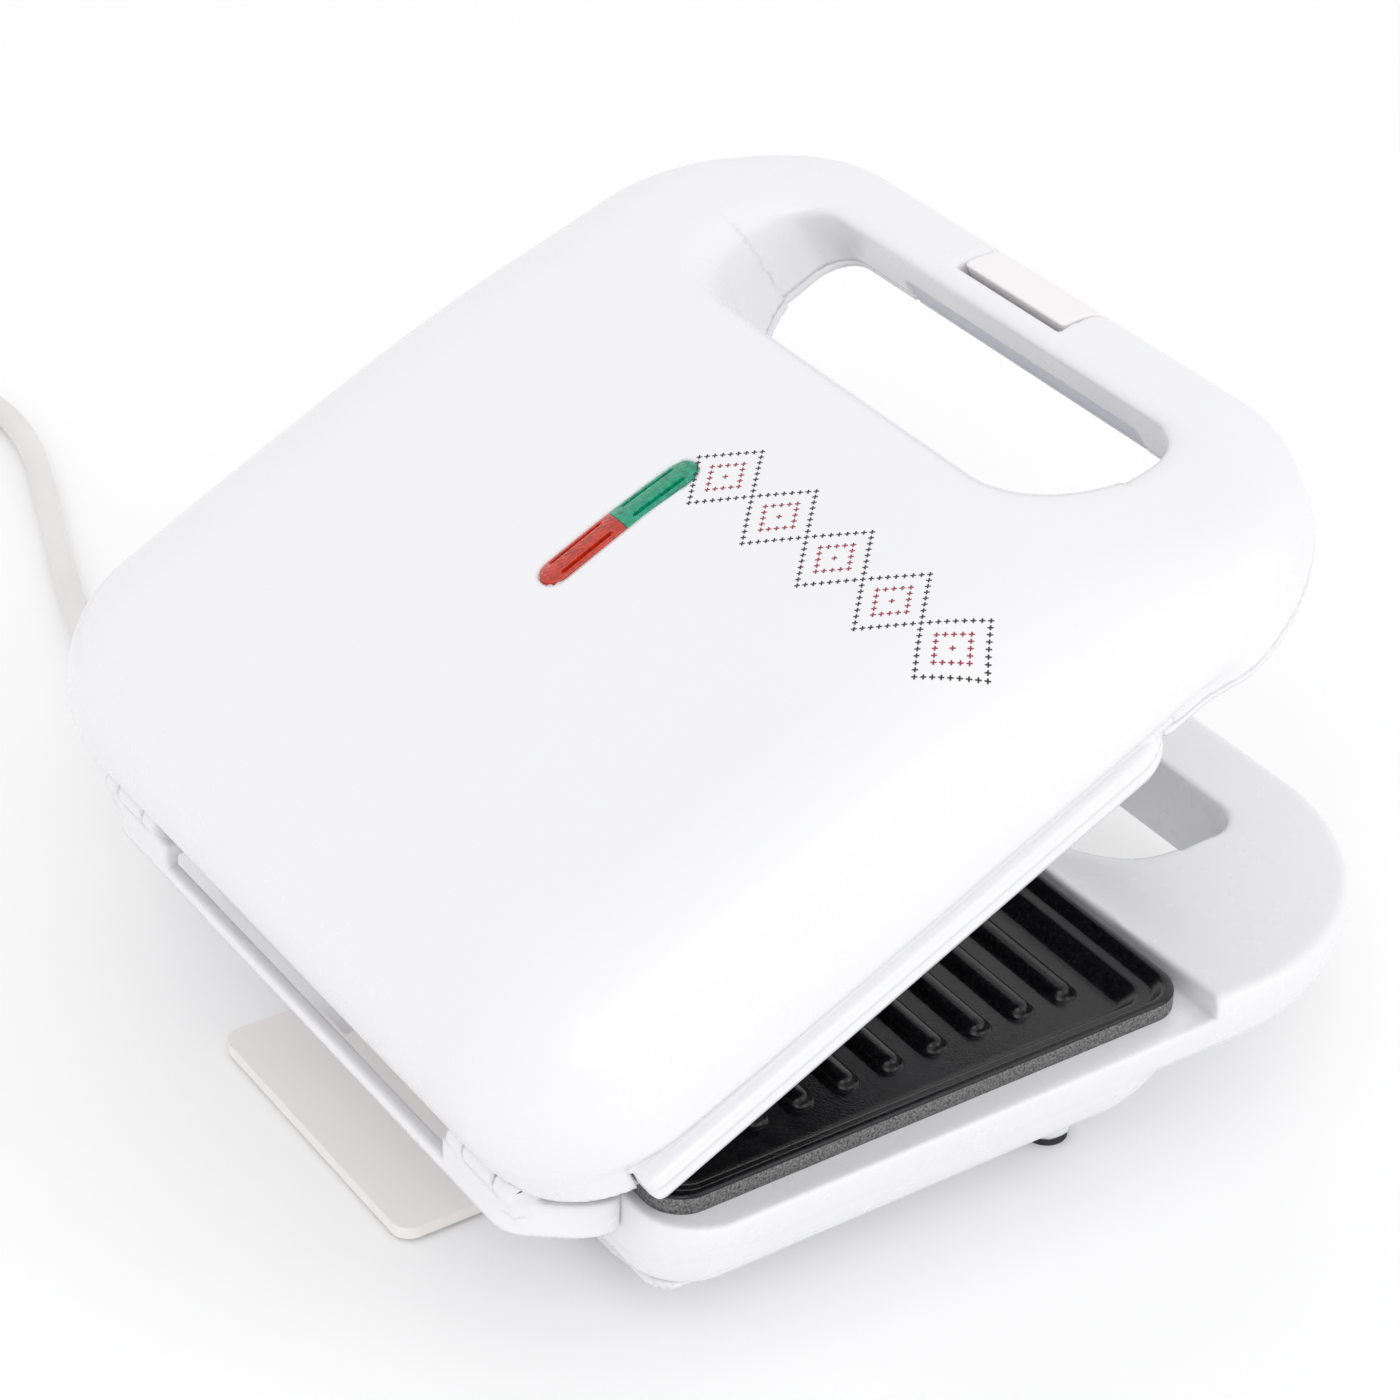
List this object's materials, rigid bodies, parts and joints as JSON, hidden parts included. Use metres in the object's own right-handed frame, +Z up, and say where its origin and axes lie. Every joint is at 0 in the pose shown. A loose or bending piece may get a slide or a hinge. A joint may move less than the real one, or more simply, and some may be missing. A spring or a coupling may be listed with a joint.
{
  "type": "contact grill",
  "caption": "White two-slice contact grill with a hinged lid, ribbed non-stick plates, split indicator lens, handle latch and a coiled mains cord.",
  "frame": {"origin": "on the table under the centre of the open grill, without its cord", "axes": "+Z up from the feet, -Y towards the handle and the user, +X to the side on which the cord leaves"},
  "size_m": [0.529, 0.3741, 0.1641],
  "materials": {
    "white_plastic": "gloss",
    "warm_white_plastic": "satin",
    "nonstick_coating": "satin",
    "steel": "satin",
    "nickel": "polished",
    "green_lens": "polished",
    "red_lens": "polished",
    "lamp_glass": "polished",
    "inner_plastic": "matte",
    "wire_sleeve": "matte",
    "black_rubber": "matte",
    "cord_vinyl": "satin",
    "tie_black": "matte"
  },
  "bodies": {
    "base": {"base_frame": "white_plastic", "base_handle_cover": "white_plastic", "base_cover": "white_plastic", "hinge_housing": "white_plastic", "hinge_pin_left": "steel", "hinge_pin_right": "steel", "latch_keeper": "steel", "rear_stand": "warm_white_plastic", "lower_grill_plate": "nonstick_coating", "lower_heating_element": "steel", "lower_reflector": "steel", "lower_plate_screws": "steel", "thermostat": "steel", "thermal_fuse": "steel", "terminal_block": "inner_plastic", "base_wiring": "wire_sleeve", "foot_front_left": "black_rubber", "foot_front_right": "black_rubber", "foot_rear_left": "black_rubber", "foot_rear_right": "black_rubber", "cover_screws": "steel", "handle_screws": "steel", "stand_screws": "steel", "strain_relief": "cord_vinyl", "cord_tube": "cord_vinyl", "cord_coil": "cord_vinyl", "cord_tail": "cord_vinyl", "coil_tie": "tie_black", "plug_body": "cord_vinyl", "plug_pins": "nickel", "plug_earth_strips": "steel"},
    "lid": {"lid_shell": "white_plastic", "lid_frame": "white_plastic", "upper_grill_plate": "nonstick_coating", "upper_heating_element": "steel", "upper_reflector": "steel", "upper_plate_screws": "steel", "green_lens": "green_lens", "red_lens": "red_lens", "latch_pin": "steel", "latch_spring": "steel", "green_lamp": "lamp_glass", "red_lamp": "lamp_glass", "lamp_holder": "inner_plastic", "lid_wiring": "wire_sleeve", "lid_screws": "steel"},
    "latch": {"latch": "warm_white_plastic"}
  },
  "joints": [
    {"name": "lid_hinge", "type": "hinge", "parent": "base", "child": "lid", "pos_m": [0, 0.1092, 0.0479], "axis": [-1, 0, 0], "range_deg": [-26.7, 72]},
    {"name": "latch_pivot", "type": "hinge", "parent": "lid", "child": "latch", "pos_m": [0, -0.0781, 0.16068], "axis": [-1, 0, 0], "range_deg": [0, 20], "stiffness_Nm_per_rad": 0.02, "springref_deg": -11.46}
  ]
}
